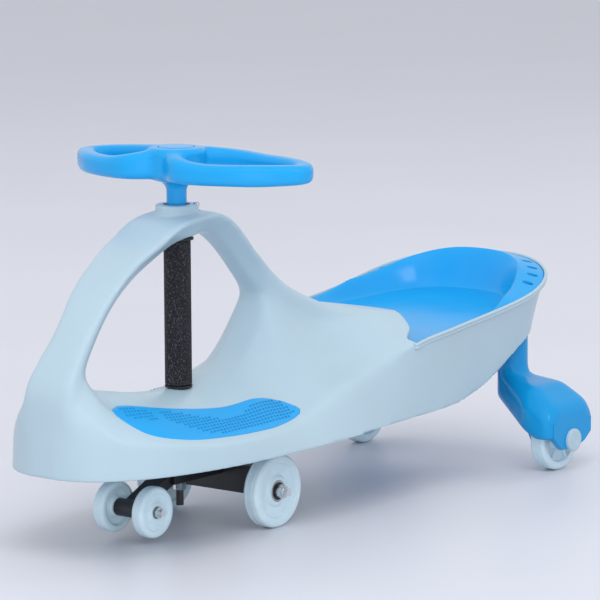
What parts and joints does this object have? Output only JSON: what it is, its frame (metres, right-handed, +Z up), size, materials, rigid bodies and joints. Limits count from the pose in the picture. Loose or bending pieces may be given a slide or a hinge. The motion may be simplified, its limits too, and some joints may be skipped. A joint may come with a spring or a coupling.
{
  "type": "wiggle car",
  "caption": "Low ride-on car with an arched body, tub seat and two-loop steering wheel that swings a wheeled bracket under the nose to push the car along.",
  "frame": {"origin": "middle of the bounding box on the floor", "axes": "+X forward, +Y the rider's left, +Z up"},
  "size_m": [0.7602, 0.32, 0.39],
  "materials": {
    "body_plastic": "smooth moulded gloss, pale ice blue",
    "blue_plastic": "smooth moulded gloss, bright blue",
    "pad_plastic": "satin with raised dots, bright blue",
    "sleeve_black": "matt black with fine pale speckle",
    "bracket_black": "matt black",
    "wheel_plastic": "satin tread, pale ice blue",
    "cap_plastic": "smooth moulded gloss, pale ice blue",
    "bright_steel": "bright plated",
    "plain_steel": "drawn bar",
    "bearing_steel": "dark shielded bearing",
    "bush_grey": "plain grey"
  },
  "bodies": {
    "chassis": {"body_shell": "body_plastic", "seat_tray": "blue_plastic", "seat_screws": "bright_steel", "foot_pad_left": "pad_plastic", "foot_pad_right": "pad_plastic", "upper_bush": "bush_grey", "lower_bush": "bush_grey", "rear_leg_left": "blue_plastic", "rear_leg_right": "blue_plastic", "leg_screws": "bright_steel", "rear_axle_left": "plain_steel", "rear_axle_right": "plain_steel", "rear_axle_cap_left": "cap_plastic", "rear_axle_cap_right": "cap_plastic", "rear_axle_clips": "bright_steel", "rear_axle_spacers": "bush_grey"},
    "steering": {"steering_wheel": "blue_plastic", "wheel_stem": "blue_plastic", "hub_cap": "blue_plastic", "hub_bolt": "bright_steel", "steering_shaft": "plain_steel", "column_sleeve": "sleeve_black", "thrust_washer": "bright_steel", "axle_bracket": "bracket_black", "shaft_washer": "bright_steel", "shaft_nut": "bright_steel", "shaft_end_cap": "bracket_black", "front_axle": "plain_steel", "front_axle_spacers": "bright_steel", "front_axle_nuts": "bright_steel", "balance_axle": "plain_steel", "balance_axle_nuts": "bright_steel"},
    "front_wheel_left_roll": {"front_wheel_left": "wheel_plastic", "front_bearings_left": "bearing_steel"},
    "front_wheel_right_roll": {"front_wheel_right": "wheel_plastic", "front_bearings_right": "bearing_steel"},
    "balance_wheel_left_roll": {"balance_wheel_left": "wheel_plastic", "balance_bushes_left": "bush_grey"},
    "balance_wheel_right_roll": {"balance_wheel_right": "wheel_plastic", "balance_bushes_right": "bush_grey"},
    "rear_wheel_left_roll": {"rear_wheel_left": "wheel_plastic", "rear_bushes_left": "bush_grey"},
    "rear_wheel_right_roll": {"rear_wheel_right": "wheel_plastic", "rear_bushes_right": "bush_grey"}
  },
  "joints": [
    {"name": "steering_turn", "type": "hinge", "parent": "chassis", "child": "steering", "pos_m": [0.1745, 0, 0.2], "axis": [0, 0, 1], "continuous": true},
    {"name": "front_wheel_left_spin", "type": "hinge", "parent": "steering", "child": "front_wheel_left_roll", "pos_m": [0.1125, 0.071, 0.038], "axis": [0, 1, 0], "continuous": true},
    {"name": "front_wheel_right_spin", "type": "hinge", "parent": "steering", "child": "front_wheel_right_roll", "pos_m": [0.1125, -0.071, 0.038], "axis": [0, 1, 0], "continuous": true},
    {"name": "balance_wheel_left_spin", "type": "hinge", "parent": "steering", "child": "balance_wheel_left_roll", "pos_m": [0.2475, 0.0255, 0.0325], "axis": [0, 1, 0], "continuous": true},
    {"name": "balance_wheel_right_spin", "type": "hinge", "parent": "steering", "child": "balance_wheel_right_roll", "pos_m": [0.2475, -0.0255, 0.0325], "axis": [0, 1, 0], "continuous": true},
    {"name": "rear_wheel_left_spin", "type": "hinge", "parent": "chassis", "child": "rear_wheel_left_roll", "pos_m": [-0.3055, 0.132, 0.035], "axis": [0, 1, 0], "continuous": true},
    {"name": "rear_wheel_right_spin", "type": "hinge", "parent": "chassis", "child": "rear_wheel_right_roll", "pos_m": [-0.3055, -0.132, 0.035], "axis": [0, 1, 0], "continuous": true}
  ]
}
